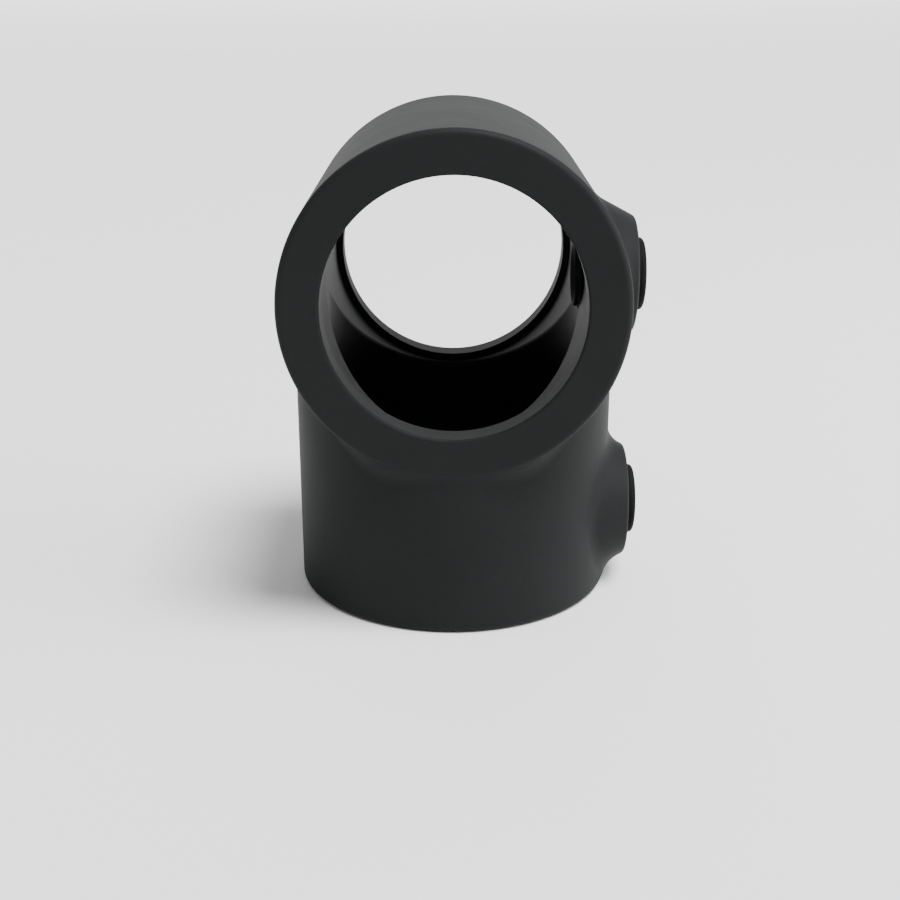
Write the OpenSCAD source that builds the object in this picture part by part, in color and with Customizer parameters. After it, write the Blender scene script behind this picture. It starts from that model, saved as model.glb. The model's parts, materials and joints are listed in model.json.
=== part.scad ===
// Short tee for round tube: a cast sleeve that a tube passes through, a cast
// socket below it that takes the end of a second tube, and a set screw for each.
// Z points up, the through tube lies along Y and both screws point along X.
// The origin is on the socket's axis, in the plane of the socket's mouth.

/* [Tube] */
// Outside diameter of the tubes that the fitting joins
tube_d = 42.4; // [38:0.1:48.3]
// Clearance on the diameter between a tube and the bored lips
tube_clearance = 1.3; // [0.6:0.1:2]

/* [Casting] */
// Wall thickness at the bored lips
wall = 7.25; // [6:0.05:9]
// How much slimmer the socket is than the sleeve, on the radius
socket_inset = 0.05; // [0.05:0.05:1]
// How far each end of the sleeve stands past the wall of the socket
sleeve_overhang = 0.4; // [0.2:0.1:10]
// Length of the socket below the underside of the sleeve
socket_reach = 28.9; // [26:0.1:45]
// Length of the bored lip at each mouth
lip_l = 5; // [3:0.5:6]
// Depth of the cored relief behind the lips of the sleeve, on the radius
sleeve_relief = 1.25; // [0.8:0.05:1.6]
// Depth of the cored relief behind the lip of the socket, on the radius
socket_relief = 1.05; // [0.5:0.05:1.2]
// Radius of the outer edge at each mouth
edge_r = 1.2; // [0.4:0.1:1.5]
// Radius of the inner edge at each mouth
mouth_r = 0.5; // [0.2:0.1:0.8]
// Radius of the cast fillets where one form runs into another
blend_r = 5.5; // [3:0.1:6.5]
// Radius of the worn-down edge where the two cored hollows meet
saddle_r = 1.2; // [0.4:0.1:1.3]

/* [Bosses] */
// How far the boss faces stand out from the wall of the sleeve
boss_rise = 3.4; // [2.6:0.1:5]
// Diameter across the rim of a boss
boss_d = 21.5; // [20:0.1:23]
// Radius of the rim of a boss
boss_rim_r = 0.9; // [0.5:0.1:1.5]
// Slope of the flank of a boss, measured from its axis
boss_taper = 28; // [15:1:40]
// Height of the lower boss above the mouth of the socket, at its rim
boss_foot = 3.45; // [2.2:0.05:7]

/* [Set screws] */
// Diameter over the thread
screw_d = 13.16; // [12:0.01:14]
// Clearance on the diameter between a screw and its hole
screw_fit = 0.08; // [0.04:0.01:0.16]
// Length of a screw
screw_l = 12.6; // [11:0.1:16]
// How far a screw stands out of its boss
screw_stand = 1.8; // [0:0.1:3]
// Width of the key socket across its flats
key_w = 6; // [5:0.1:7]
// Depth of the key socket
key_l = 5.5; // [3:0.1:6.5]
// Bevel at the mouth of the key socket
key_bevel = 0.3; // [0.1:0.1:0.5]
// Diameter of the cup point at its rim
cup_d = 11; // [7:0.1:11.5]
// Radius of the edge at the outer end of a screw
screw_edge = 0.9; // [0.3:0.1:1.2]
// Length of the bevel that leads the inner end of a screw into its hole
point_bevel = 0.9; // [0.6:0.1:2]
// Bevel at the mouth of a screw hole
hole_bevel = 0.6; // [0.3:0.1:1]

/* [Hidden] */
$fn = 96;

lip_r = (tube_d + tube_clearance) / 2;
sleeve_r = lip_r + wall;
socket_r = sleeve_r - socket_inset;
sleeve_l = 2 * (sleeve_r + sleeve_overhang);
axis_h = sleeve_r + socket_reach;
sleeve_relief_r = lip_r + sleeve_relief;
socket_relief_r = lip_r + socket_relief;
boss_face = sleeve_r + boss_rise;
boss_r = boss_d / 2;
socket_screw_h = boss_r + boss_foot;
screw_r = screw_d / 2;
hole_r = screw_r + screw_fit / 2;
screw_out = boss_face + screw_stand;
cup_r = cup_d / 2;

// Steps of an edge's arc, of a fillet's arc, of the arc on the edge between the
// cores, and round a boss and the socket
EDGE_STEPS = 6;
BLEND_STEPS = 7;
SADDLE_STEPS = 4;
BOSS_STEPS = 72;
CROTCH_STEPS = 96;
// Steps of a corner where three forms meet, and its half width as an angle
CORNER_STEPS = 4;
CORNER_TURN = 1;
// The blends dip this far under the walls that they run out into
SINK = 0.04;
// The blends reach this far into the metal
ROOT = 1.2;
// The edge between the cores is never sharper than this radius
RIDGE_MIN = 0.1;
// Cutters run this far past the faces that they cut
PAST = 1;
// Angle of the cone at the bottom of a drilled hole, and of a cup point
DRILL_ANGLE = 118;

function unit(v) = v / norm(v);

// Direction that is turned t of the way from the unit vector a to b
function turned(a, b, t) =
    let (w = acos(max(-1, min(1, a * b))))
    w < 0.01 ? a : (a * sin((1 - t) * w) + b * sin(t * w)) / sin(w);

// Points on an arc of radius r round c, from the angle a0 to a1
function arc(c, r, a0, a1, steps = EDGE_STEPS) =
    [for (i = [0:steps]) let (a = a0 + (a1 - a0) * i / steps) c + r * [cos(a), sin(a)]];

// Larger root of a x^2 - 2 b x + c = 0
function larger_root(a, b, c) = (b + sqrt(b * b - a * c)) / a;

// The ball that rolls in a fillet is given as [centre, direction to the first
// wall, direction to the second wall]. This gives the fillet's arc on the ball.
function ball_arc(ball) =
    [for (i = [0:BLEND_STEPS]) ball[0] + blend_r * turned(ball[1], ball[2], i / BLEND_STEPS)];

// Closed ring of equal sections, each a list of points, as a solid
module ring_of(sections) {
    m = len(sections);
    k = len(sections[0]);
    corners = function(j, i) (j % m) * k + i % k;
    polyhedron(
        points = [for (s = sections) each s],
        faces = [for (j = [0:m - 1], i = [0:k - 1]) each [
            [corners(j, i), corners(j + 1, i + 1), corners(j, i + 1)],
            [corners(j, i), corners(j + 1, i), corners(j + 1, i + 1)]]],
        convexity = 6);
}

// Crotch fillet between the sleeve and the socket

// Ball at the angle a round the socket. Near the ends of the sleeve it rests
// against the rounded rim, and elsewhere against the barrel.
function crotch_ball(a) =
    let (
        out = socket_r - SINK + blend_r,
        x = out * cos(a),
        y = out * sin(a),
        rim_y = sleeve_l / 2 - edge_r,
        over = max(0, abs(y) - rim_y),
        reach = sleeve_r - edge_r + sqrt((edge_r - SINK + blend_r) ^ 2 - over * over),
        z = axis_h - sqrt(reach * reach - x * x),
        centre = [x, y, z],
        k = (sleeve_r - edge_r) / reach,
        rim = [x * k, min(rim_y, abs(y)) * sign(y), axis_h + (z - axis_h) * k])
    [centre, unit(rim - centre), unit([-x, -y, 0])];

function crotch_section(a) =
    let (
        ball = crotch_ball(a),
        skin = ball_arc(ball),
        under_sleeve = skin[0] + ROOT * ball[1],
        under_socket = skin[BLEND_STEPS] + ROOT * ball[2])
    concat(skin, [under_socket, [under_socket.x, under_socket.y, under_sleeve.z], under_sleeve]);

module crotch_fillet()
    ring_of([for (j = [0:CROTCH_STEPS - 1]) crotch_section(360 * j / CROTCH_STEPS)]);

// Bosses. The flank is a cone: its radius at x is flank_at_0 - x tan(taper).

rim_x = boss_face - boss_rim_r * (1 - sin(boss_taper));
rim_r = boss_r - boss_rim_r * (1 - cos(boss_taper));
flank_at_0 = rim_r + rim_x * tan(boss_taper);
// Where the flank meets the wall of the socket, straight across it
flank_foot = larger_root(1 + tan(boss_taper) ^ 2, flank_at_0 * tan(boss_taper),
    flank_at_0 ^ 2 - socket_r ^ 2);
flank_end = flank_foot - ROOT / 2;

// The boss itself, down into the wall, with its axis along X
module boss_cone()
    rotate([90, 0, 90])
        rotate_extrude()
            polygon(concat(
                [[0, flank_end], [flank_at_0 - flank_end * tan(boss_taper), flank_end]],
                arc([boss_r - boss_rim_r, boss_face - boss_rim_r], boss_rim_r, boss_taper, 90),
                [[0, boss_face]]));

// Ball centres lie on a cone outside the flank, at this radius for x = 0
ball_at_0 = flank_at_0 + (blend_r - SINK) / cos(boss_taper);
sleeve_out = sleeve_r - SINK + blend_r;
socket_out = socket_r - SINK + blend_r;
// Ball that touches the flank, the sleeve and the socket at once
corner_x = larger_root(2 + tan(boss_taper) ^ 2, ball_at_0 * tan(boss_taper),
    ball_at_0 ^ 2 - sleeve_out ^ 2 - socket_out ^ 2);
corner_a = -asin(sqrt(sleeve_out ^ 2 - corner_x ^ 2) / (ball_at_0 - corner_x * tan(boss_taper)));

// Place along the boss of a ball that touches the flank and a barrel, where
// across is how far the ball lies across that barrel for each unit from the boss's axis
function ball_x(out, across) =
    let (t = across * tan(boss_taper))
    larger_root(1 + t * t, across * ball_at_0 * t, (across * ball_at_0) ^ 2 - out * out);

// Ball at the angle a round a boss. It rests against the flank and against the
// sleeve (on = 0), the socket (on = 1), or both (between 0 and 1, in the corner).
function boss_ball(a, on) =
    let (
        x = max(
            on < 1 ? ball_x(sleeve_out, sin(a)) : 0,
            on > 0 ? ball_x(socket_out, cos(a)) : 0),
        r = ball_at_0 - x * tan(boss_taper),
        y = r * cos(a),
        z = r * sin(a))
    [
        [x, y, z],
        [-sin(boss_taper), -cos(boss_taper) * cos(a), -cos(boss_taper) * sin(a)],
        turned(unit([-x, 0, -z]), unit([-x, -y, 0]), on)];

// Radius of the ring inside a boss where its fillet's solid ends
core_r = (hole_r + boss_r) / 2;

function boss_section(a, on) =
    let (
        ball = boss_ball(a, on),
        skin = ball_arc(ball),
        foot = skin[BLEND_STEPS] + ROOT * ball[2])
    concat(skin, [
        foot,
        [foot.x, core_r * cos(a), core_r * sin(a)],
        [skin[0].x, core_r * cos(a), core_r * sin(a)]]);

function boss_sections(a0, a1, on, steps) =
    [for (j = [0:steps]) boss_section(a0 + (a1 - a0) * j / steps, on)];

// The few sections at a corner where the fillet changes from one barrel to the other
function corner_sections(a, on0, on1) =
    [for (j = [1:CORNER_STEPS - 1]) let (t = j / CORNER_STEPS)
        boss_section(a + CORNER_TURN * (2 * t - 1), on0 + (on1 - on0) * t)];

// Fillet round the boss on the sleeve, which runs out below into the socket
module upper_boss_fillet() {
    left = 180 - corner_a;
    right = 360 + corner_a;
    socket_steps = round(BOSS_STEPS * (right - left) / 360);
    ring_of(concat(
        boss_sections(corner_a + CORNER_TURN, left - CORNER_TURN, 0, BOSS_STEPS - socket_steps),
        corner_sections(left, 0, 1),
        boss_sections(left + CORNER_TURN, right - CORNER_TURN, 1, socket_steps),
        corner_sections(right, 1, 0)));
}

// Boss on the socket, with its fillet. The boss ends inside the wall above the
// rounded edge of the mouth, and a cone that touches this edge cuts the fillet off.
module lower_boss() {
    edge = [socket_r - edge_r * (1 - cos(45)), edge_r * (1 - cos(45))];
    span = boss_d + 2 * blend_r;
    intersection() {
        translate([0, 0, socket_screw_h]) boss_cone();
        translate([0, 0, edge.y]) cylinder(r = boss_face + boss_r, h = axis_h);
    }
    intersection() {
        translate([0, 0, socket_screw_h])
            ring_of([for (j = [0:BOSS_STEPS - 1]) boss_section(360 * j / BOSS_STEPS, 1)]);
        rotate_extrude()
            polygon([[0, edge.y], edge, edge + [span, span], [0, edge.y + span]]);
    }
}

// Barrels and what is cored and bored out of them

// Half outline of a barrel of radius r, from the height z0 to z1, with rounded edges
function barrel(r, z0, z1, round0, round1) = concat(
    [[0, z0]],
    round0 ? arc([r - edge_r, z0 + edge_r], edge_r, -90, 0) : [[r, z0]],
    round1 ? arc([r - edge_r, z1 - edge_r], edge_r, 0, 90) : [[r, z1]],
    [[0, z1]]);

module sleeve_barrel()
    translate([0, 0, axis_h]) rotate([90, 0, 0])
        rotate_extrude()
            polygon(barrel(sleeve_r, -sleeve_l / 2, sleeve_l / 2, true, true));

module socket_barrel()
    rotate_extrude()
        polygon(barrel(socket_r, 0, axis_h, true, false));

// Half outline of a bored mouth at the height z, open towards lower z
function mouth(z) = concat(
    [[0, z - PAST], [lip_r + mouth_r, z - PAST]],
    arc([lip_r + mouth_r, z + mouth_r], mouth_r, 270, 180));

// Outline points seen from the other end, in the order that carries on from them
function flipped(points) = [for (i = [len(points) - 1:-1:0]) [points[i].x, -points[i].y]];

module sleeve_core() {
    half = concat(mouth(-sleeve_l / 2), [
        [lip_r, lip_l - sleeve_l / 2],
        [sleeve_relief_r, lip_l - sleeve_l / 2]]);
    translate([0, 0, axis_h]) rotate([90, 0, 0])
        rotate_extrude()
            polygon(concat(half, flipped(half)));
}

module socket_core()
    rotate_extrude()
        polygon(concat(mouth(0), [
            [lip_r, lip_l],
            [socket_relief_r, lip_l],
            [socket_relief_r, axis_h],
            [0, axis_h]]));

// Radius of the edge between the cores, where the steps behind the lips leave room for it
ridge_r = max(RIDGE_MIN, min(saddle_r, sleeve_l / 2 - lip_l - socket_relief_r));

// What is rounded off the edge where the two cores meet. A ball rolls inside the
// metal against both cores, and each section runs from its arc to a point in the hollow.
function saddle_section(a) =
    let (
        socket_out = socket_relief_r + ridge_r - SINK,
        sleeve_out = sleeve_relief_r + ridge_r - SINK,
        x = socket_out * cos(a),
        y = socket_out * sin(a),
        z = -sqrt(sleeve_out ^ 2 - x ^ 2),
        inner_x = (socket_relief_r - ROOT) * cos(a),
        inner_y = (socket_relief_r - ROOT) * sin(a),
        inner_z = -sqrt((sleeve_relief_r - ROOT) ^ 2 - inner_x ^ 2))
    concat(
        [for (i = [0:SADDLE_STEPS]) [x, y, z]
            + ridge_r * turned(unit([-x, 0, -z]), unit([-x, -y, 0]), i / SADDLE_STEPS)],
        [[inner_x, inner_y, inner_z]]);

module saddle_edge()
    translate([0, 0, axis_h])
        ring_of([for (j = [0:CROTCH_STEPS - 1]) saddle_section(360 * j / CROTCH_STEPS)]);

// Screw hole from inside the bore out through its boss, with a bevelled mouth
module screw_hole()
    rotate([90, 0, 90])
        rotate_extrude()
            polygon([
                [0, lip_r / 2],
                [hole_r, lip_r / 2],
                [hole_r, boss_face - hole_bevel],
                [hole_r + hole_bevel + PAST, boss_face + PAST],
                [0, boss_face + PAST]]);

module at_screws()
    for (h = [axis_h, socket_screw_h])
        translate([0, 0, h]) children();

module tee_casting()
    color([0.16, 0.17, 0.17])
        difference() {
            union() {
                sleeve_barrel();
                socket_barrel();
                crotch_fillet();
                translate([0, 0, axis_h]) {
                    boss_cone();
                    upper_boss_fillet();
                }
                lower_boss();
            }
            sleeve_core();
            socket_core();
            saddle_edge();
            at_screws() screw_hole();
        }

// Set screw with its axis along X and its outer end at x = screw_out
module set_screw() {
    cup_l = cup_r / tan(DRILL_ANGLE / 2);
    key_r = key_w / 2;
    key_corner = key_r / cos(30);
    key_mouth = key_corner + key_bevel;
    translate([screw_out, 0, 0])
        rotate([90, 0, 90])
            difference() {
                rotate_extrude()
                    polygon(concat(
                        [
                            [0, cup_l - screw_l],
                            [cup_r, -screw_l],
                            [screw_r, point_bevel - screw_l]],
                        arc([screw_r - screw_edge, -screw_edge], screw_edge, 0, 90),
                        [[0, 0]]));
                translate([0, 0, -key_l])
                    cylinder(r = key_corner, h = key_l + PAST, $fn = 6);
                rotate_extrude()
                    polygon([
                        [0, key_r - key_mouth],
                        [key_r, key_r - key_mouth],
                        [key_mouth + PAST, PAST],
                        [0, PAST]]);
                translate([0, 0, -key_l])
                    rotate_extrude()
                        polygon([[0, PAST], [key_r, PAST], [key_r, 0], [0, -key_r / tan(DRILL_ANGLE / 2)]]);
            }
}

module upper_set_screw()
    color([0.09, 0.09, 0.1])
        translate([0, 0, axis_h]) set_screw();

module lower_set_screw()
    color([0.09, 0.09, 0.1])
        translate([0, 0, socket_screw_h]) set_screw();

tee_casting();
upper_set_screw();
lower_set_screw();
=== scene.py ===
"""Looks of a cast tube clamp tee fitting with two set screws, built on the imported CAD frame.

The casting is made again as one closed skin of exact surfaces: barrels, rounded edges, and
the fillets that a rolling ball leaves between them. Lengths here are in millimetres, with
the origin on the axis of the sleeve above the middle of the socket's mouth, and turns are in
degrees. Most surfaces are made for y >= 0 and mirrored.
"""
import json

import bpy
import numpy as np
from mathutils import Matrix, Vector


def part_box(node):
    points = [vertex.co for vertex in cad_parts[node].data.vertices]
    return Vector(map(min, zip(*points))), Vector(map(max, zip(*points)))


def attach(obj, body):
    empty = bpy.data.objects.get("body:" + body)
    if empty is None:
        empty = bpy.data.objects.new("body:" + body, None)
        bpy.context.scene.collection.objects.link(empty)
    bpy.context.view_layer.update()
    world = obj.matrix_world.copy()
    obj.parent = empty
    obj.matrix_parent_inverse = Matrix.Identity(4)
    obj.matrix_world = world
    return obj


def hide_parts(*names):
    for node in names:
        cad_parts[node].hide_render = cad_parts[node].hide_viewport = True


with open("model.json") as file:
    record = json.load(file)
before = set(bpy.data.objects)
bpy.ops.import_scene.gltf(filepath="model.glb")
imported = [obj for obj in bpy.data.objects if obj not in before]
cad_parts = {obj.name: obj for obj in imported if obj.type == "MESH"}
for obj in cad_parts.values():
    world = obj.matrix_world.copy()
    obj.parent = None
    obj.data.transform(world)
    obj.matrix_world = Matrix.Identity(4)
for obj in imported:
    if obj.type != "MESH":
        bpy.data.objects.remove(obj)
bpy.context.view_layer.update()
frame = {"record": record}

MM = 0.001


def cad_box(node):
    """Lowest and highest corner of a CAD node in millimetres."""
    low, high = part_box(node)
    return np.array(low) / MM, np.array(high) / MM


mounts = {mount["name"]: mount for mount in frame["record"]["mounts"]}
LIP_R = mounts["through_bore"]["dims"]["r_mm"]
AXIS_H = mounts["through_bore"]["pos_m"][2] / MM
casting_high = cad_box("tee_casting")[1]
upper_low, upper_high = cad_box("upper_set_screw")
lower_low, lower_high = cad_box("lower_set_screw")

# Casting: its ends, walls, edges and fillets
SLEEVE_END = round(float(casting_high[1]), 3)
BOSS_FACE = round(float(casting_high[0]), 3)
FOOT = -AXIS_H
LOWER_Z = round(float(lower_low[2] + lower_high[2]) / 2, 3) - AXIS_H
WALL = 7.25
SOCKET_INSET = 0.05
SLEEVE_R = LIP_R + WALL
SOCKET_R = SLEEVE_R - SOCKET_INSET
EDGE_R = 1.2
EDGE_TOP = FOOT + EDGE_R
RIM_Y = SLEEVE_END - EDGE_R
MOUTH_R = 0.5
BLEND_R = 5.5
LIP_L = 5.0
SLEEVE_RELIEF = 1.25
SOCKET_RELIEF = 1.05
SLEEVE_CORE_R = LIP_R + SLEEVE_RELIEF
SOCKET_CORE_R = LIP_R + SOCKET_RELIEF
SADDLE_R = 1.2
BOSS_R = 10.75
BOSS_RIM_R = 0.9
TAPER = np.radians(28)
HOLE_R = 6.62
HOLE_BEVEL = 0.6

# Cone that cuts off the fillet of the lower boss: the share of the lowest arc that it spares,
# how far the middle of the rounded edge, where the cone ends, stands in from the wall and up
# from the foot, and the distance over which the cone's swell fades
CUT_SHARE = 0.12
EDGE_INSET = EDGE_R * (1 - np.cos(np.pi / 4))
SWELL_FADE = 0.5

# Screws and their thread, whose crest and flank are shares of half a pitch
SCREW_OUT = round(float(upper_high[0]), 3)
SCREW_IN = round(float(upper_low[0]), 3)
CREST_R = 6.57
PITCH = 25.4 / 19
THREAD_DEPTH = 0.8
THREAD_START = 31.95
THREAD_CREST = 0.125
THREAD_FLANK = 0.625
THREAD_GAP = 0.05
THREAD_FADE = 0.35
HOLE_LEAD = 1.2
PLAIN_END = 1.75
SCREW_EDGE_R = 0.9
POINT_BEVEL = 0.9
CUP_R = 5.5
CUP_SLOPE = np.tan(np.radians(31))
KEY_R = 3.0
KEY_DEPTH = 5.5
KEY_BEVEL = 0.3
DRILL_R = 2.94

# Numbers of steps over the surfaces, and of rows on the socket: from its top to a level row,
# on from there to the lower boss or its hole, and from the hole to the lip
FILLET_STEPS = 14
EDGE_STEPS = 10
SADDLE_STEPS = 6
MOUTH_STEPS = 6
BARREL_STEPS = 6
CORE_STEPS = 4
FLANK_STEPS = 3
TOP_ROWS = 4
GAP_ROWS = 3
LIP_ROWS = 2
HOLE_ROWS = 96
HOLE_TURNS = 60
SCREW_TURNS = 144
SCREW_ROWS = 124
POINT_ROWS = 18
CUP_ROWS = 5
KEY_ROWS = 4
LEAD_ROWS = 3

# Steps of the turns, the turn round the socket past which its columns are plain, and one
# that lies past the screw hole
TURN_STEP = 1.6
BOSS_STEP = 2
CUT_STEP = 1.5
HOLE_STEP = 3
SIDE_TURN = 38.0
PAST_HOLE = 60.0

# Heights of the level rows of the socket's wall and core above the lower screw
WALL_LEVEL = 22.0
CORE_LEVEL = 12.8

# Turns that differ by less than this are the same, and an angle so small counts as none
SAME = 1e-6
TINY = 1e-9

# Powder coat and black oxide: colours, lumps to the metre, heights of the relief in metres,
# and levels of the shine
COAT_DARK, COAT_LIGHT = (0.0081, 0.0089, 0.0091, 1), (0.0132, 0.0144, 0.0148, 1)
WAVES, PEEL, GRAIN, CLOUDS = 170, 1150, 5200, 60
WAVES_H, PEEL_H, GRAIN_H = 0.000060, 0.000018, 0.0000030
COAT_SHINE = 0.075
OXIDE_DARK, OXIDE_LIGHT = (0.004, 0.0042, 0.0042, 1), (0.010, 0.0105, 0.0105, 1)
LINES_ALONG, LINES_AROUND, MOTTLE = 9000, 700, 420
LINES_H, MOTTLE_H = 0.0000014, 0.000004
OXIDE_SHINE = 0.03

# Studio: the camera of the photograph, the floor, the light all round, and for each lamp its
# name, kind, place, the point that it faces, its power, and its angle or its size in metres
LENS = 53.984
SENSOR = 36
CAMERA_PLACE = (-0.00079, -0.24172, 0.11020)
CAMERA_TURN = (90 - 19.632, 0, -0.037)
FLOOR_HALF = 20
FLOOR_DARK, FLOOR_LIGHT = (0.80, 0.80, 0.80, 1), (0.83, 0.83, 0.83, 1)
FLOOR_CLOUDS, FLOOR_ROUGH = 3, 0.9
ROOM_LIGHT = 0.52
LIGHTS = (
    ("sun", "SUN", (0.33, -0.20, 1.0), (0, 0, 0), 6.1, 27),
    ("right_box", "AREA", (0.55, -0.05, 0.28), (0, 0, 0.05), 3.2, 0.4),
    ("back_box", "AREA", (-0.25, 4.0, 2.2), (0, 0, 0.06), 85, 5.0))


def unit(v):
    """Each vector over its own length."""
    return v / np.linalg.norm(v, axis=-1, keepdims=True)


def vec(x, y, z):
    """Vectors from three arrays that broadcast together."""
    return np.stack(np.broadcast_arrays(x, y, z), -1)


def steps(count):
    """Shares from 0 to 1 in so many steps."""
    return np.linspace(0, 1, count + 1)


def turned(u, v, t):
    """Unit vector t of the way from u to v: (u sin((1 - t) w) + v sin(t w)) / sin w."""
    w = np.arccos(np.clip((u * v).sum(-1, keepdims=True), -1, 1))
    w = np.maximum(w, TINY)
    return unit((u * np.sin((1 - t) * w) + v * np.sin(t * w)) / np.sin(w))


def spread(*stops, step=TURN_STEP):
    """Turns, about step apart, through all the stops."""
    runs = [np.linspace(a, b, max(2, int(np.ceil(abs(b - a) / step)) + 1))
            for a, b in zip(stops, stops[1:])]
    return np.concatenate([run[:-1] for run in runs[:-1]] + [runs[-1]])


def solved(f, low, high, halvings=48):
    """Where f crosses zero between low, where it is positive, and high, for each element."""
    for _ in range(halvings):
        middle = (low + high) / 2
        above = f(middle) > 0
        low, high = np.where(above, middle, low), np.where(above, high, middle)
    return (low + high) / 2


def larger_root(a, b, c):
    """Larger root of a x^2 - 2 b x + c = 0."""
    return (b + np.sqrt(b * b - a * c)) / a


def slopes(points):
    """Unit normals of a grid of points, from the differences along its two directions."""
    return unit(np.cross(np.gradient(points, axis=0), np.gradient(points, axis=1)))


def ringed(make, turn):
    """Grid make(turn) round a closed ring of turns, and its normals across the seam."""
    wide = np.concatenate([turn[-2:-1] - 360, turn, turn[1:2] + 360])
    points = make(wide)
    return points[1:-1], slopes(points)[1:-1]


def about_y(radius, y, turn):
    """Points (r cos t, y, r sin t) round the axis of the sleeve."""
    t = np.radians(turn)
    return vec(radius * np.cos(t), y, radius * np.sin(t))


def about_z(radius, z, turn):
    """Points (r cos t, r sin t, z) round the axis of the socket."""
    t = np.radians(turn)
    return vec(radius * np.cos(t), radius * np.sin(t), z)


def about_x(radius, x, turn, height=0.0):
    """Points (x, r cos t, height + r sin t) round the axis of a screw."""
    t = np.radians(turn)
    return vec(x, radius * np.cos(t), height + radius * np.sin(t))


def turn_y(point):
    """Turn of a point round the axis of the sleeve."""
    return np.degrees(np.arctan2(point[..., 2], point[..., 0]))


def turn_z(point):
    """Turn of a point round the axis of the socket."""
    return np.degrees(np.arctan2(point[..., 1], point[..., 0]))


# Where the flank of a boss ends at its rim, and the lines that the flank and a ball rolling
# on it follow: their distance from the axis of the boss is this, less x tan(taper)
RIM_X = BOSS_FACE - BOSS_RIM_R * (1 - np.sin(TAPER))
FLANK_AT_0 = BOSS_R - BOSS_RIM_R * (1 - np.cos(TAPER)) + RIM_X * np.tan(TAPER)
BALL_AT_0 = FLANK_AT_0 + BLEND_R / np.cos(TAPER)

# Distance of a ball rolling on a barrel from the axis of that barrel
SLEEVE_OUT = SLEEVE_R + BLEND_R
SOCKET_OUT = SOCKET_R + BLEND_R


def crotch_ball(turn):
    """Ball rolling between the sleeve, or its rounded rim, and the socket, for a turn round the
    socket: its centre, its directions to the two walls, and the turn by which it leans over
    the rim. The centre is SOCKET_OUT from the axis of the socket and R - e + sqrt((e + b)^2 -
    o^2) from the axis of the sleeve, with R, e and b the radii of the sleeve, its rim and the
    ball, and o the way that the centre has gone past RIM_Y."""
    x, y = SOCKET_OUT * np.cos(np.radians(turn)), SOCKET_OUT * np.sin(np.radians(turn))
    over = np.maximum(0, y - RIM_Y)
    lean = np.sqrt((EDGE_R + BLEND_R) ** 2 - over ** 2)
    reach = SLEEVE_R - EDGE_R + lean
    z = -np.sqrt(reach ** 2 - x ** 2)
    k = (SLEEVE_R - EDGE_R) / reach
    centre = vec(x, y, z)
    to_sleeve = unit(vec(x * k, np.minimum(RIM_Y, y), z * k) - centre)
    to_socket = vec(-x, -y, 0 * x) / SOCKET_OUT
    return centre, to_sleeve, to_socket, np.degrees(np.arctan2(over, lean))


def boss_ball(turn, on_socket, height=0.0):
    """Ball rolling round a boss against its flank and a barrel, for a turn round the boss: its
    centre, its direction to the flank and its direction to the barrel. The centre is
    BALL_AT_0 - x tan(taper) from the axis of the boss, and SLEEVE_OUT or SOCKET_OUT from the
    axis of the barrel, which gives a quadratic for x."""
    t = np.radians(turn)
    across = np.cos(t) if on_socket else np.sin(t)
    out = SOCKET_OUT if on_socket else SLEEVE_OUT
    slope = across * np.tan(TAPER)
    x = larger_root(1 + slope ** 2, across * BALL_AT_0 * slope,
                    (across * BALL_AT_0) ** 2 - out ** 2)
    r = BALL_AT_0 - x * np.tan(TAPER)
    y, z = r * np.cos(t), r * np.sin(t)
    to_flank = vec(-np.sin(TAPER), -np.cos(TAPER) * np.cos(t), -np.cos(TAPER) * np.sin(t))
    to_barrel = unit(vec(-x, -y, 0) if on_socket else vec(-x, 0, -z))
    return vec(x, y, z + height), to_flank, to_barrel


def rolled(ball, t):
    """Arc of the ball between its two walls: points and the normals that face its centre."""
    centre, a, b = (part[..., None, :] for part in ball[:3])
    towards = turned(a, b, np.asarray(t)[..., None])
    return centre + BLEND_R * towards, -towards


def saddle_ball(turn, t):
    """Ball inside the metal that rounds the edge between the two cored hollows, for a turn round
    the socket: points and normals, t of the way from the sleeve's core to the socket's. Its
    centre lies SADDLE_R outside both cores."""
    a = np.radians(turn)
    x, y = (SOCKET_CORE_R + SADDLE_R) * np.cos(a), (SOCKET_CORE_R + SADDLE_R) * np.sin(a)
    z = -np.sqrt((SLEEVE_CORE_R + SADDLE_R) ** 2 - x ** 2)
    towards = turned(unit(vec(-x, 0, -z)), vec(-np.cos(a), -np.sin(a), 0), t[..., None])
    return vec(x, y, z) + SADDLE_R * towards, towards


def hole_on_core(turn, core_r, across):
    """Edge of a screw hole on a core: x = sqrt(core^2 - c^2), with c its coordinate across."""
    edge = about_x(HOLE_R, 0, turn)
    edge[:, 0] = np.sqrt(core_r ** 2 - edge[:, across] ** 2)
    return edge


def thread_r(x, turn):
    """Radius over the right-hand thread: the crest less a share of its depth that goes with
    the distance q = |2 frac((x - start) / pitch - turn / 360) - 1| from the middle of the crest."""
    q = np.abs(2 * np.mod((x - THREAD_START) / PITCH - turn / 360, 1) - 1)
    return CREST_R - THREAD_DEPTH * np.clip((q - THREAD_CREST) / THREAD_FLANK, 0, 1)


# Ball in the corner under the upper boss, which touches the flank and both barrels: its
# centre, and its turns round the boss and round the socket
CORNER_X = larger_root(2 + np.tan(TAPER) ** 2, BALL_AT_0 * np.tan(TAPER),
                       BALL_AT_0 ** 2 - SLEEVE_OUT ** 2 - SOCKET_OUT ** 2)
CORNER_R = BALL_AT_0 - CORNER_X * np.tan(TAPER)
CORNER_B = -np.degrees(np.arcsin(np.sqrt(SLEEVE_OUT ** 2 - CORNER_X ** 2) / CORNER_R))
CORNER_A = np.degrees(np.arccos(CORNER_X / SOCKET_OUT))

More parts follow.
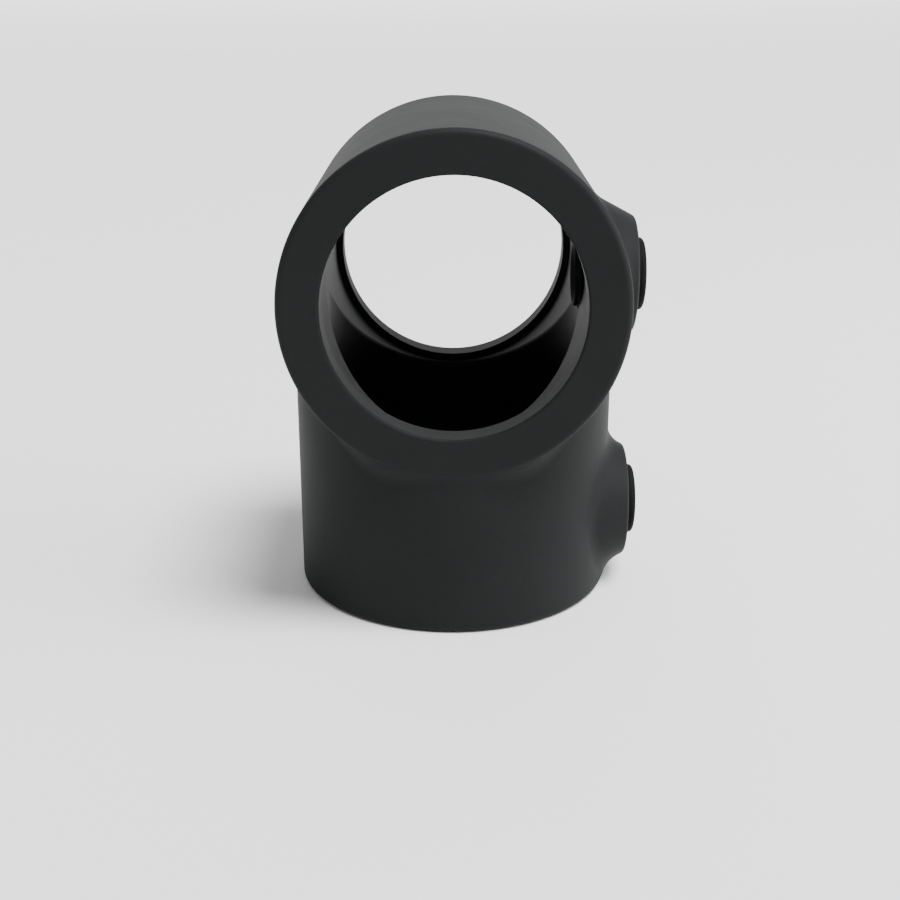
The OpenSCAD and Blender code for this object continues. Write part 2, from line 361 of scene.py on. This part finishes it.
# Turn round the socket where the crotch ball reaches the rounded rim of the sleeve, and turn
# round the lower boss where its ball stands level with the rounded edge of the mouth
RIM_A = np.degrees(np.arcsin(RIM_Y / SOCKET_OUT))
FOOT_B = float(solved(lambda b: boss_ball(b, True, LOWER_Z)[0][..., 2] - EDGE_TOP,
                      np.array(0.0), np.array(-90.0)))


class Skin:
    """Grids of quads that carry their own normals and join where their edges meet."""

    # Size of the cells whose points are one, and their shift, so that no round length lies
    # between two cells
    MERGE, SHIFT = 0.001, 0.37

    def __init__(self):
        self.points, self.normals, self.quads, self.count = [], [], [], 0

    def add(self, points, normals, quads, mirrored):
        """Quads over a list of points, turned to face along the normals."""
        corner = points[quads]
        face = np.cross(corner[:, 2] - corner[:, 0], corner[:, 3] - corner[:, 1])
        if (face * normals[quads].mean(1)).sum() < 0:
            quads = quads[:, ::-1]
        sides = [(np.ones(3), quads)]
        if mirrored:
            sides.append((np.array([1, -1, 1]), quads[:, ::-1]))
        for flip, ordered in sides:
            self.points.append(points * flip)
            self.normals.append(normals * flip)
            self.quads.append(ordered + self.count)
            self.count += len(points)

    def grid(self, points, normals, mirrored=True):
        """Surface of two parameters: points[i, j] with its normals."""
        rows, columns = points.shape[:2]
        i = np.arange(rows * columns).reshape(rows, columns)
        quads = np.stack([i[:-1, :-1], i[1:, :-1], i[1:, 1:], i[:-1, 1:]], -1).reshape(-1, 4)
        normals = np.broadcast_to(normals, points.shape)
        self.add(points.reshape(-1, 3), normals.reshape(-1, 3), quads, mirrored)

    def zipped(self, outer, inner, outer_turn, inner_turn, normal, mirrored=True):
        """Ring between two lists of points, whose turns rise between the same two ends. Each
        step of one list makes a triangle with the point that the other list has reached, and
        at equal turns the outer list goes first."""
        n, last = len(outer), len(inner) - 1
        i, j = np.arange(n - 1), np.arange(last)
        reached = np.minimum(np.searchsorted(inner_turn[1:], outer_turn[1:] - TINY), last)
        first = np.stack([i, i + 1, n + reached, n + reached], -1)
        reached = np.searchsorted(outer_turn[1:], inner_turn[1:] - TINY)
        level = np.abs(outer_turn[np.minimum(reached + 1, n - 1)] - inner_turn[1:]) < SAME
        reached = np.minimum(reached + level, n - 1)
        second = np.stack([reached, n + j + 1, n + j, n + j], -1)
        points = np.concatenate([outer, inner])
        self.add(points, np.broadcast_to(normal, points.shape),
                 np.concatenate([first, second]), mirrored)

    def piece(self, name):
        """One mesh object in metres, with the quads' own normals at their corners. Points in
        one cell become one, and quads that this closes up become triangles or go."""
        points, normals = np.concatenate(self.points), np.concatenate(self.normals)
        quads = np.concatenate(self.quads)
        cell = np.floor(points / self.MERGE + self.SHIFT).astype(np.int64)
        _, first, place = np.unique(cell, axis=0, return_index=True, return_inverse=True)
        corner = place.reshape(-1)[quads]
        kept = corner != np.roll(corner, -1, 1)
        whole = (kept.sum(1) > 2) & (corner[:, 0] != corner[:, 2]) & (corner[:, 1] != corner[:, 3])
        quads, corner, kept = quads[whole], corner[whole], kept[whole]
        used, loops = np.unique(corner[kept], return_inverse=True)
        sizes = kept.sum(1)
        mesh = bpy.data.meshes.new(name)
        mesh.vertices.add(len(used))
        places = (points[first[used]] + [0, 0, AXIS_H]) * MM
        mesh.vertices.foreach_set("co", places.astype(np.float32).ravel())
        mesh.loops.add(len(loops))
        mesh.loops.foreach_set("vertex_index", loops.reshape(-1).astype(np.int32))
        mesh.polygons.add(len(sizes))
        mesh.polygons.foreach_set("loop_start", (np.cumsum(sizes) - sizes).astype(np.int32))
        mesh.polygons.foreach_set("use_smooth", np.ones(len(sizes), dtype=bool))
        mesh.update(calc_edges=True)
        mesh.validate()
        mesh.normals_split_custom_set(normals[quads][kept])
        made = bpy.data.objects.new(name, mesh)
        bpy.context.collection.objects.link(made)
        return made


class Casting(Skin):
    """Closed skin of the casting. Each method adds some of its surfaces and keeps the edges that
    later ones start from, so they run in the order in which they stand."""

    def crotch_fillet(self):
        """The crotch ball at each turn round the socket, with its arc from wall to wall."""
        self.turns = spread(CORNER_A, SIDE_TURN, RIM_A, 90, 180 - RIM_A, 180)
        ball = crotch_ball(self.turns)
        self.grid(*rolled(ball, steps(FILLET_STEPS)))
        self.at_sleeve = ball[0] + BLEND_R * ball[1]
        self.at_socket = ball[0] + BLEND_R * ball[2]
        self.over_rim = ball[3]

    def upper_boss_fillets(self):
        """Fillets of the upper boss on the sleeve and on the socket, and the part of the corner
        ball between them: directions turned from its left side to its right."""
        arc = steps(FILLET_STEPS)
        above_b = spread(CORNER_B, 0, 90, step=BOSS_STEP)
        below_b = spread(-90, CORNER_B, step=BOSS_STEP)
        above, below = boss_ball(above_b, False), boss_ball(below_b, True)
        self.grid(*rolled(above, arc))
        self.grid(*rolled(below, arc))
        to_flank, to_sleeve, to_socket = above[1][0], above[2][0], below[2][-1]
        left = turned(to_flank, to_sleeve, arc[:, None])[:, None]
        right = turned(to_flank, to_socket, arc[:, None])[:, None]
        fan = turned(left, right, arc[None, :, None])
        fan[0] = to_flank
        self.grid(above[0][0] + BLEND_R * fan, -fan)
        self.above_wall = above[0] + BLEND_R * above[2]
        self.below_wall = below[0] + BLEND_R * below[2]
        self.upper_b = np.concatenate([below_b, above_b[1:]])
        self.upper_feet = np.concatenate([
            below[0] + BLEND_R * below[1], (above[0] + BLEND_R * above[1])[1:]])

    def sleeve(self):
        """Barrel r = SLEEVE_R from its fillets and the middle out to its rounded rim, and the
        rim: r = R - e + e cos t, y = RIM_Y + e sin t, from t = 0 or where the crotch ball
        leaves it, up to 90."""
        before, after = self.turns <= RIM_A + SAME, self.turns >= 180 - RIM_A - SAME
        top = spread(turn_y(self.above_wall[-1]), 90, turn_y(self.at_sleeve[-1]) % 360)
        columns = np.concatenate([
            turn_y(self.at_sleeve[before])[::-1], turn_y(self.above_wall)[1:], top[1:-1],
            turn_y(self.at_sleeve[after])[::-1] % 360])
        starts = np.concatenate([
            self.at_sleeve[before][::-1, 1], self.above_wall[1:, 1], 0 * top[1:-1],
            self.at_sleeve[after][::-1, 1]])
        y = starts[:, None] + (RIM_Y - starts[:, None]) * steps(BARREL_STEPS)
        self.grid(about_y(SLEEVE_R, y, columns[:, None]), about_y(1.0, 0, columns[:, None]))

        under = ~before & ~after
        rim_turn = np.concatenate([
            columns, turn_y(self.at_sleeve[under])[::-1] % 360, columns[:1] + 360])
        rim_from = np.concatenate([0 * columns, self.over_rim[under][::-1], [0.0]])
        edge = rim_from[:, None] + (90 - rim_from[:, None]) * steps(EDGE_STEPS)
        round_r, round_y = np.cos(np.radians(edge)), np.sin(np.radians(edge))
        self.grid(about_y(SLEEVE_R - EDGE_R + EDGE_R * round_r, RIM_Y + EDGE_R * round_y,
                          rim_turn[:, None]),
                  about_y(round_r, round_y, rim_turn[:, None]))
        self.rim_turn = rim_turn

    def bosses(self):
        """Rounded rim, tapered flank and flat face of each boss. The rim is
        r = R - e + e sin b, x = face - e + e cos b, and the flank runs straight to the fillet."""
        self.round_b = spread(90, 0, FOOT_B, step=BOSS_STEP)
        self.cut_b = spread(-90, FOOT_B, step=CUT_STEP)
        lower_b = np.concatenate([self.cut_b, self.round_b[::-1][1:]])
        lower = boss_ball(lower_b, True, LOWER_Z)
        self.hole_b = np.linspace(-90, 90, HOLE_TURNS + 1)
        b = np.linspace(0, np.pi / 2 - TAPER, EDGE_STEPS + 1)
        rim_r = BOSS_R - BOSS_RIM_R + BOSS_RIM_R * np.sin(b)
        rim_x = BOSS_FACE - BOSS_RIM_R + BOSS_RIM_R * np.cos(b)
        for height, around, feet in (
                (0.0, self.upper_b, self.upper_feet),
                (LOWER_Z, lower_b, lower[0] + BLEND_R * lower[1])):
            self.grid(about_x(rim_r, rim_x, around[:, None], height),
                      about_x(np.sin(b), np.cos(b), around[:, None]))
            rim = about_x(rim_r[-1], rim_x[-1], around, height)
            self.grid(rim[:, None] + (feet - rim)[:, None] * steps(FLANK_STEPS)[:, None],
                      about_x(np.cos(TAPER), np.sin(TAPER), around)[:, None])
            mouth = about_x(HOLE_R + HOLE_BEVEL, BOSS_FACE, self.hole_b, height)
            self.zipped(about_x(rim_r[0], BOSS_FACE, around, height), mouth, around,
                        self.hole_b, np.array([1.0, 0, 0]))

    def lower_boss_fillet(self):
        """Fillet of the lower boss, cut off below by the cone that runs into the socket's
        rounded edge: z = q + k (r - R + q) over the mouth, with q the inset of the edge's middle
        and k the slope, and a swell that goes with exp((R - r) / SWELL_FADE)."""
        whole, cut = (boss_ball(b, True, LOWER_Z) for b in (self.round_b, self.cut_b))
        lowest = rolled(boss_ball(np.array([-90.0]), True, LOWER_Z), np.array([CUT_SHARE]))[0][0, 0]
        cone = (lowest[2] - FOOT - EDGE_INSET) / (lowest[0] - SOCKET_R + EDGE_INSET)

        def over_cone(share):
            """Height of the arcs' points over the cone and its swell."""
            point = rolled(cut, share[:, None])[0][:, 0]
            r = np.hypot(point[..., 0], point[..., 1])
            swell = (EDGE_R - EDGE_INSET - cone * EDGE_INSET) * np.exp((SOCKET_R - r) / SWELL_FADE)
            return point[..., 2] - FOOT - EDGE_INSET - cone * (r - SOCKET_R + EDGE_INSET) - swell

        self.grid(*rolled(whole, steps(FILLET_STEPS)))
        stop = solved(over_cone, np.zeros(len(self.cut_b)), np.ones(len(self.cut_b)))
        stop[-1] = 1
        self.grid(*rolled(cut, stop[:, None] * steps(FILLET_STEPS)))
        self.around_wall = whole[0] + BLEND_R * whole[2]
        self.cut_edge = rolled(cut, stop[:, None])[0][:, 0]
        self.cut_turn = turn_z(self.cut_edge)

    def socket(self):
        """Barrel r = SOCKET_R. Under the upper boss and beside the lower one its rows start at
        the fillets and spread to SIDE_TURN, and past that turn its columns fall by the same
        shares from the crotch fillet to the rounded edge."""
        near, far = self.turns <= SIDE_TURN + SAME, self.turns >= SIDE_TURN - SAME
        near_turn = np.concatenate([turn_z(self.below_wall), self.turns[near][1:]])
        near_top = np.concatenate([self.below_wall[:, 2], self.at_socket[near][1:, 2]])
        level = LOWER_Z + WALL_LEVEL
        upper_z = near_top + (level - near_top) * steps(TOP_ROWS)[:, None]
        row_z = np.concatenate([
            np.linspace(level, self.around_wall[0, 2], GAP_ROWS + 1)[:-1],
            self.around_wall[:, 2]])
        row_from = np.concatenate([np.zeros(GAP_ROWS), turn_z(self.around_wall)])
        row_turn = row_from[:, None] + (SIDE_TURN - row_from[:, None]) * (near_turn / SIDE_TURN)
        z = np.concatenate([upper_z, row_z[1:, None] + 0 * row_turn[1:]])
        turn = np.concatenate([near_turn + 0 * upper_z, row_turn[1:]])
        self.grid(about_z(SOCKET_R, z, turn), about_z(1.0, 0 * z, turn))
        fall = (z[:, -1] - z[0, -1]) / (EDGE_TOP - z[0, -1])
        far_turn, far_top = self.turns[far], self.at_socket[far][:, 2]
        z = far_top + (EDGE_TOP - far_top) * fall[:, None]
        self.grid(about_z(SOCKET_R, z, far_turn), about_z(1.0, 0 * z, far_turn))
        self.edge_turn = np.concatenate([row_turn[-1], far_turn[1:]])

    def socket_edge(self):
        """Rounded edge of the socket, r = R - e + e cos t, z = top - e sin t, of which only the
        lower half is left under the lower boss, and the swelling cone that meets it there."""
        edge, half = np.radians(np.linspace(0, 90, EDGE_STEPS + 1)), EDGE_STEPS // 2
        r, z = SOCKET_R - EDGE_R + EDGE_R * np.cos(edge), EDGE_TOP - EDGE_R * np.sin(edge)
        for part, turn in ((slice(0, None), self.edge_turn), (slice(half, None), self.cut_turn)):
            self.grid(about_z(r[part], z[part], turn[:, None]),
                      about_z(np.cos(edge[part]), -np.sin(edge[part]), turn[:, None]))
        share = steps(half)
        cut_r = np.hypot(self.cut_edge[:, 0], self.cut_edge[:, 1])[:, None]
        cut_z = self.cut_edge[:, 2][:, None]
        end_r, end_z = SOCKET_R - EDGE_INSET, FOOT + EDGE_INSET
        fade = np.exp((SOCKET_R - cut_r) / SWELL_FADE)
        swell_r = r[:half + 1] - (SOCKET_R + (end_r - SOCKET_R) * share)
        swell_z = z[:half + 1] - (EDGE_TOP + (end_z - EDGE_TOP) * share)
        under = about_z(cut_r + (end_r - cut_r) * share + fade * swell_r,
                        cut_z + (end_z - cut_z) * share + fade * swell_z, self.cut_turn[:, None])
        down = slopes(under)
        self.grid(under, down * -np.sign(down[..., 2].mean()))

    def saddle(self):
        """Rounded edge where the two cored hollows meet, from the upper screw hole round to the
        far side, and the edges of both screw holes from their lowest point to their top."""
        share = steps(SADDLE_STEPS)

        def in_hole(turn):
            """How far inside the hole's radius the points of the edge stand."""
            point = saddle_ball(turn, share)[0]
            return HOLE_R - np.hypot(point[..., 1], point[..., 2])

        hole_a = solved(in_hole, 0 * share, PAST_HOLE + 0 * share)
        bend = hole_a + (180 - hole_a) * (spread(0, 180, step=BOSS_STEP) / 180)[:, None]
        ridge, normal = saddle_ball(bend, share + 0 * bend)
        self.grid(ridge, normal)
        self.ridge_sleeve, self.ridge_socket = ridge[:, 0], ridge[:, -1]
        start_b, end_b = (float(np.degrees(np.arctan2(point[2], point[1])))
                          for point in (ridge[0, -1], ridge[0, 0]))
        self.on_socket = hole_on_core(spread(-90, start_b, step=HOLE_STEP), SOCKET_CORE_R, 1)
        self.on_sleeve = hole_on_core(spread(end_b, 0, 90, step=HOLE_STEP), SLEEVE_CORE_R, 2)
        self.upper_edge = np.concatenate([self.on_socket, ridge[0, ::-1][1:-1], self.on_sleeve])
        self.lower_hole_b = spread(-90, 0, 90, step=HOLE_STEP)
        self.lower_edge = hole_on_core(self.lower_hole_b, SOCKET_CORE_R, 1)

    def lip(self, about, way, end, core_r, columns):
        """Step from a core to its bored lip, the lip, and its rounded mouth:
        r = R + e - e cos t, and e sin t along the axis, which leaves the casting in way."""
        turn, inner = columns[:, None], end - way * LIP_L
        edge = np.radians(np.linspace(0, 90, MOUTH_STEPS + 1))
        self.grid(about(np.array([core_r, LIP_R]), inner, turn), about(0.0, -way, turn))
        self.grid(about(LIP_R, np.array([inner, end - way * MOUTH_R]), turn), -about(1.0, 0, turn))
        self.grid(about(LIP_R + MOUTH_R - MOUTH_R * np.cos(edge),
                        end - way * MOUTH_R + way * MOUTH_R * np.sin(edge), turn),
                  about(-np.cos(edge), way * np.sin(edge), turn))

    def sleeve_way(self):
        """Tube way of the sleeve: the core r = SLEEVE_CORE_R from the saddle, the screw hole and
        the middle out to the lip, the lip, and the flat ring at its end."""
        under = turn_y(self.ridge_sleeve)[::-1]
        top = spread(turn_y(self.on_sleeve[-1]), 90, turn_y(self.ridge_sleeve[-1]) % 360,
                     step=HOLE_STEP)
        columns = np.concatenate([
            under - np.where(under > 90, 360, 0), turn_y(self.on_sleeve)[1:], top[1:]])
        starts = np.concatenate([
            self.ridge_sleeve[::-1, 1], self.on_sleeve[1:, 1], 0 * top[1:]])
        y = starts[:, None] + (SLEEVE_END - LIP_L - starts[:, None]) * steps(CORE_STEPS)
        self.grid(about_y(SLEEVE_CORE_R, y, columns[:, None]), -about_y(1.0, 0, columns[:, None]))
        self.lip(about_y, 1, SLEEVE_END, SLEEVE_CORE_R, columns)

        def from_top(values):
            """Turns of a closed ring, started again at 90 degrees."""
            at = int(np.argmin(np.abs(values[:-1] - 90)))
            return np.concatenate([values[at:-1], values[:at] + 360, [values[at] + 360]])

        outer_turn, inner_turn = from_top(self.rim_turn), from_top(columns)
        self.zipped(about_y(SLEEVE_R - EDGE_R, SLEEVE_END, outer_turn),
                    about_y(LIP_R + MOUTH_R, SLEEVE_END, inner_turn), outer_turn, inner_turn,
                    np.array([0, 1.0, 0]))

    def socket_way(self):
        """Tube way of the socket: the core r = SOCKET_CORE_R, whose rows start at the lower
        screw hole as those of the wall outside do, the lip, and the flat ring at the mouth."""
        columns = np.concatenate([turn_z(self.on_socket)[:-1], turn_z(self.ridge_socket)])
        tops = np.concatenate([self.on_socket[:-1, 2], self.ridge_socket[:, 2]])
        level, lip_z = LOWER_Z + CORE_LEVEL, FOOT + LIP_L
        upper_z = tops + (level - tops) * steps(TOP_ROWS)[:, None]
        row_z = np.concatenate([
            np.linspace(level, LOWER_Z + HOLE_R, GAP_ROWS + 1)[:-1],
            LOWER_Z + HOLE_R * np.sin(np.radians(self.lower_hole_b[::-1])),
            np.linspace(LOWER_Z - HOLE_R, lip_z, LIP_ROWS + 1)[1:]])
        row_from = np.concatenate([
            np.zeros(GAP_ROWS), turn_z(self.lower_edge[::-1]), np.zeros(LIP_ROWS)])
        row_turn = row_from[:, None] + (180 - row_from[:, None]) * (columns / 180)
        z = np.concatenate([upper_z, row_z[1:, None] + 0 * row_turn[1:]])
        turn = np.concatenate([columns + 0 * upper_z, row_turn[1:]])
        self.grid(about_z(SOCKET_CORE_R, z, turn), -about_z(1.0, 0 * z, turn))
        self.lip(about_z, -1, FOOT, SOCKET_CORE_R, columns)
        outer_turn = np.concatenate([self.cut_turn[:-1], self.edge_turn])
        self.zipped(about_z(SOCKET_R - EDGE_R, FOOT, outer_turn),
                    about_z(LIP_R + MOUTH_R, FOOT, columns), outer_turn, columns,
                    np.array([0, 0, -1.0]))

    def screw_holes(self):
        """Threaded holes, full circles from their edge on the core out to the bevelled mouth.
        Their radius eases from HOLE_R to that of the screw's thread and a small gap."""
        end = BOSS_FACE - HOLE_BEVEL
        for height, points in ((0.0, self.upper_edge), (LOWER_Z, self.lower_edge)):
            half = np.degrees(np.arctan2(points[:, 2], points[:, 1]))
            around = np.concatenate([half, 180 - half[::-1][1:]])
            ring_x = np.concatenate([points[:, 0], points[::-1, 0][1:]])

            def wall(turn):
                """Hole's wall at each turn, with the thread eased in from both its ends."""
                start = np.interp(turn, around, ring_x, period=360)[:, None]
                x = start + (end - start) * steps(HOLE_ROWS)
                ease = np.clip(np.minimum(x - start, end - HOLE_LEAD - x) / THREAD_FADE, 0, 1)
                r = HOLE_R - ease * (HOLE_R - THREAD_GAP - thread_r(x, turn[:, None]))
                return about_x(r, x, turn[:, None], height)

            inside, normal = ringed(wall, around)
            facing = (normal * about_x(1.0, 0, around[:, None])).sum(-1).mean()
            self.grid(inside, normal * -np.sign(facing), mirrored=False)
            mouth = np.concatenate([self.hole_b, 180 - self.hole_b[::-1][1:]])
            lean = about_x(-1.0, 1.0, np.concatenate([mouth, around])) / np.sqrt(2)
            self.zipped(about_x(HOLE_R + HOLE_BEVEL, BOSS_FACE, mouth, height),
                        about_x(HOLE_R, end, around, height), mouth, around, lean,
                        mirrored=False)


def casting():
    """Closed skin of the casting, from its fillets to its holes."""
    skin = Casting()
    skin.crotch_fillet()
    skin.upper_boss_fillets()
    skin.sleeve()
    skin.bosses()
    skin.lower_boss_fillet()
    skin.socket()
    skin.socket_edge()
    skin.saddle()
    skin.sleeve_way()
    skin.socket_way()
    skin.screw_holes()
    return skin.piece("casting_skin")


def set_screw(name, height):
    """Screw turned about X with its cup point, thread, rounded outer edge and hexagon socket.
    Each part is a grid of radii over x and the turn t, and the shank's radius is the lesser of
    its blank's and its thread's."""
    skin = Skin()
    turn = np.linspace(-90, 270, SCREW_TURNS + 1)
    column = turn[:, None]

    def turned_part(r, x, across, along):
        """Surface through r and x at all turns, whose normal leans across and along the axis."""
        points = about_x(r, x, column, height)
        skin.grid(points, about_x(across, along, column), mirrored=False)

    cup_r = np.linspace(0, CUP_R, CUP_ROWS + 1)
    turned_part(cup_r, SCREW_IN + (CUP_R - cup_r) * CUP_SLOPE, -CUP_SLOPE, -1.0)
    bevel_end = SCREW_IN + POINT_BEVEL
    edge_start = SCREW_OUT - SCREW_EDGE_R
    edge = np.linspace(0, np.pi / 2, EDGE_STEPS + 1)
    x = np.concatenate([
        np.linspace(SCREW_IN, bevel_end, POINT_ROWS + 1)[:-1],
        np.linspace(bevel_end, edge_start, SCREW_ROWS + 1)[:-1],
        edge_start + SCREW_EDGE_R * np.sin(edge)])
    blank = np.minimum(CREST_R, CUP_R + (x - SCREW_IN) * (CREST_R - CUP_R) / POINT_BEVEL)
    blank[-len(edge):] = CREST_R - SCREW_EDGE_R * (1 - np.cos(edge))

    def shank(turns):
        """Blank and thread at each turn, with the thread fading before the plain end."""
        t = turns[:, None]
        ease = np.clip((SCREW_OUT - PLAIN_END - x) / THREAD_FADE, 0, 1)
        r = CREST_R - ease * (CREST_R - thread_r(x, t))
        return about_x(np.minimum(blank, r), x + 0 * t, t, height)

    points, outward = ringed(shank, turn)
    facing = (outward * about_x(1.0, 0, column)).sum(-1).mean()
    skin.grid(points, outward * np.sign(facing), mirrored=False)

    hexagon = KEY_R / np.cos(np.radians(np.mod(column + 30, 60) - 30))
    mouth = KEY_R / np.cos(np.pi / 6) + KEY_BEVEL
    lead = steps(LEAD_ROWS)
    turned_part(blank[-1] + (mouth - blank[-1]) * lead, SCREW_OUT, 0.0, 1.0)
    turned_part(mouth + (hexagon - mouth) * lead, SCREW_OUT + (hexagon - mouth) * lead,
                -np.sqrt(0.5), np.sqrt(0.5))
    floor_x = SCREW_OUT - KEY_DEPTH
    wall_x = SCREW_OUT + hexagon - mouth
    wall_x = wall_x + (floor_x - wall_x) * steps(KEY_ROWS)
    flat = SCREW_TURNS // 6
    for side in range(6):
        at = (np.arange(flat + 1) + flat // 2 + flat * side) % SCREW_TURNS
        middle = column[at[flat // 2]]
        skin.grid(about_x(hexagon[at], wall_x[at], column[at], height),
                  about_x(-1.0, 0.0, middle + 0 * wall_x[at]), mirrored=False)
    turned_part(hexagon + (DRILL_R - hexagon) * lead, floor_x, 0.0, 1.0)
    tip = DRILL_R * (1 - lead)
    turned_part(tip, floor_x - (DRILL_R - tip) * CUP_SLOPE, -CUP_SLOPE, 1.0)
    return skin.piece(name)


class Value:
    """A shader socket. Arithmetic on it adds Math nodes, and node() adds any other node."""

    def __init__(self, tree, socket=None):
        self.tree, self.socket = tree, socket

    def node(self, kind, settings, values, output=0):
        """Node of a kind, with its settings set first and then its sockets, as values or links."""
        made = self.tree.nodes.new(kind)
        for name, setting in settings.items():
            setattr(made, name, setting)
        for name, value in values.items():
            if isinstance(value, Value):
                self.tree.links.new(value.socket, made.inputs[name])
            else:
                made.inputs[name].default_value = value
        return Value(self.tree, made.outputs[output])

    def math(self, operation, first, second=0.0):
        """Math node of two values."""
        return self.node("ShaderNodeMath", {"operation": operation}, {0: first, 1: second})

    def __add__(self, other):
        return self.math("ADD", self, other)

    def __radd__(self, other):
        return self.math("ADD", other, self)

    def __sub__(self, other):
        return self.math("SUBTRACT", self, other)

    def __rsub__(self, other):
        return self.math("SUBTRACT", other, self)

    def __mul__(self, other):
        return self.math("MULTIPLY", self, other)

    def __rmul__(self, other):
        return self.math("MULTIPLY", other, self)

    def noise(self, per_metre, detail=2.0, roughness=0.5):
        """Smooth noise in object space, about per_metre lumps to the metre, from 0 to 1."""
        place = self.node("ShaderNodeTexCoord", {}, {}, "Object")
        return self.node("ShaderNodeTexNoise", {}, {
            "Vector": place, "Scale": per_metre, "Detail": detail, "Roughness": roughness}, "Fac")

    def tint(self, share, dark, light):
        """Colour between two, by a share from 0 to 1."""
        return self.node("ShaderNodeMix", {"data_type": "RGBA"}, {0: share, 6: dark, 7: light}, 2)

    def bump(self, height):
        """Normal over a height in metres."""
        return self.node("ShaderNodeBump", {}, {
            "Height": height, "Distance": 1.0, "Strength": 1.0}, "Normal")


def material(name):
    """New material with its shader and a Value on its tree."""
    made = bpy.data.materials.new(name)
    made.use_nodes = True
    return made, made.node_tree.nodes["Principled BSDF"], Value(made.node_tree)


def linked(shader, **values):
    """Links values to the shader's sockets, named with _ for each space."""
    for name, value in values.items():
        value.tree.links.new(value.socket, shader.inputs[name.replace("_", " ")])


def powder_coat():
    """Satin black powder coat: fine orange peel over the faint waves of the casting."""
    made, shader, new = material("powder_coat")
    waves = new.noise(WAVES)
    peel = new.noise(PEEL, roughness=0.45)
    grain = new.noise(GRAIN, detail=1)
    clouds = new.noise(CLOUDS, detail=3)
    linked(shader,
           Base_Color=new.tint(clouds * 0.6 + peel * 0.4, COAT_DARK, COAT_LIGHT),
           Roughness=0.50 + 0.08 * clouds + 0.05 * peel,
           Normal=new.bump(waves * WAVES_H + peel * PEEL_H + grain * GRAIN_H))
    shader.inputs["Specular IOR Level"].default_value = COAT_SHINE
    return made


def black_oxide():
    """Blackened steel with the faint lines of turning, which are noise drawn out round X."""
    made, shader, new = material("black_oxide")
    place = new.node("ShaderNodeTexCoord", {}, {}, "Object")
    drawn_out = new.node("ShaderNodeVectorMath", {"operation": "MULTIPLY"}, {
        0: place, 1: (LINES_ALONG, LINES_AROUND, LINES_AROUND)})
    lines = new.node("ShaderNodeTexNoise", {}, {
        "Vector": drawn_out, "Scale": 1.0, "Detail": 2.0}, "Fac")
    mottle = new.noise(MOTTLE, detail=3)
    linked(shader,
           Base_Color=new.tint(mottle, OXIDE_DARK, OXIDE_LIGHT),
           Roughness=0.50 + 0.16 * mottle + 0.08 * lines,
           Normal=new.bump(lines * LINES_H + mottle * MOTTLE_H))
    shader.inputs["Specular IOR Level"].default_value = OXIDE_SHINE
    return made


def pale_floor():
    """Matt pale grey of the studio's floor."""
    made, shader, new = material("pale_floor")
    linked(shader, Base_Color=new.tint(new.noise(FLOOR_CLOUDS), FLOOR_DARK, FLOOR_LIGHT))
    shader.inputs["Roughness"].default_value = FLOOR_ROUGH
    return made


def main():
    """Dresses the three nodes: the casting and its two set screws."""
    coat, oxide = powder_coat(), black_oxide()
    casting_piece = casting()
    casting_piece.data.materials.append(coat)
    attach(casting_piece, "casting")
    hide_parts("tee_casting")
    for side, height in (("upper", 0.0), ("lower", LOWER_Z)):
        screw = set_screw(side + "_screw_turned", height)
        screw.data.materials.append(oxide)
        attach(screw, side + "_screw")
        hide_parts(side + "_set_screw")


def studio():
    """Camera of the photograph, pale floor, a soft sun and two soft boxes, and light all round."""
    scene = bpy.context.scene
    camera = bpy.data.objects.new("photo_camera", bpy.data.cameras.new("photo_camera"))
    camera.data.lens = LENS
    camera.data.sensor_width = SENSOR
    camera.location = CAMERA_PLACE
    camera.rotation_euler = np.radians(CAMERA_TURN)
    scene.collection.objects.link(camera)
    scene.camera = camera

    floor_mesh = bpy.data.meshes.new("floor")
    half = FLOOR_HALF
    floor_mesh.from_pydata([(-half, -half, 0), (half, -half, 0), (half, half, 0), (-half, half, 0)],
                           [], [(0, 1, 2, 3)])
    floor_mesh.materials.append(pale_floor())
    floor = bpy.data.objects.new("floor", floor_mesh)
    scene.collection.objects.link(floor)

    for name, kind, place, aim, power, size in LIGHTS:
        data = bpy.data.lights.new(name, kind)
        data.energy = power
        if kind == "SUN":
            data.angle = np.radians(size)
        else:
            data.size = size
        lamp = bpy.data.objects.new(name, data)
        lamp.location = place
        lamp.rotation_euler = (Vector(place) - Vector(aim)).to_track_quat("Z", "Y").to_euler()
        scene.collection.objects.link(lamp)
    room = bpy.data.worlds.new("studio")
    room.use_nodes = True
    background = room.node_tree.nodes["Background"]
    background.inputs["Color"].default_value = (1, 1, 1, 1)
    background.inputs["Strength"].default_value = ROOM_LIGHT
    scene.world = room


main()
studio()
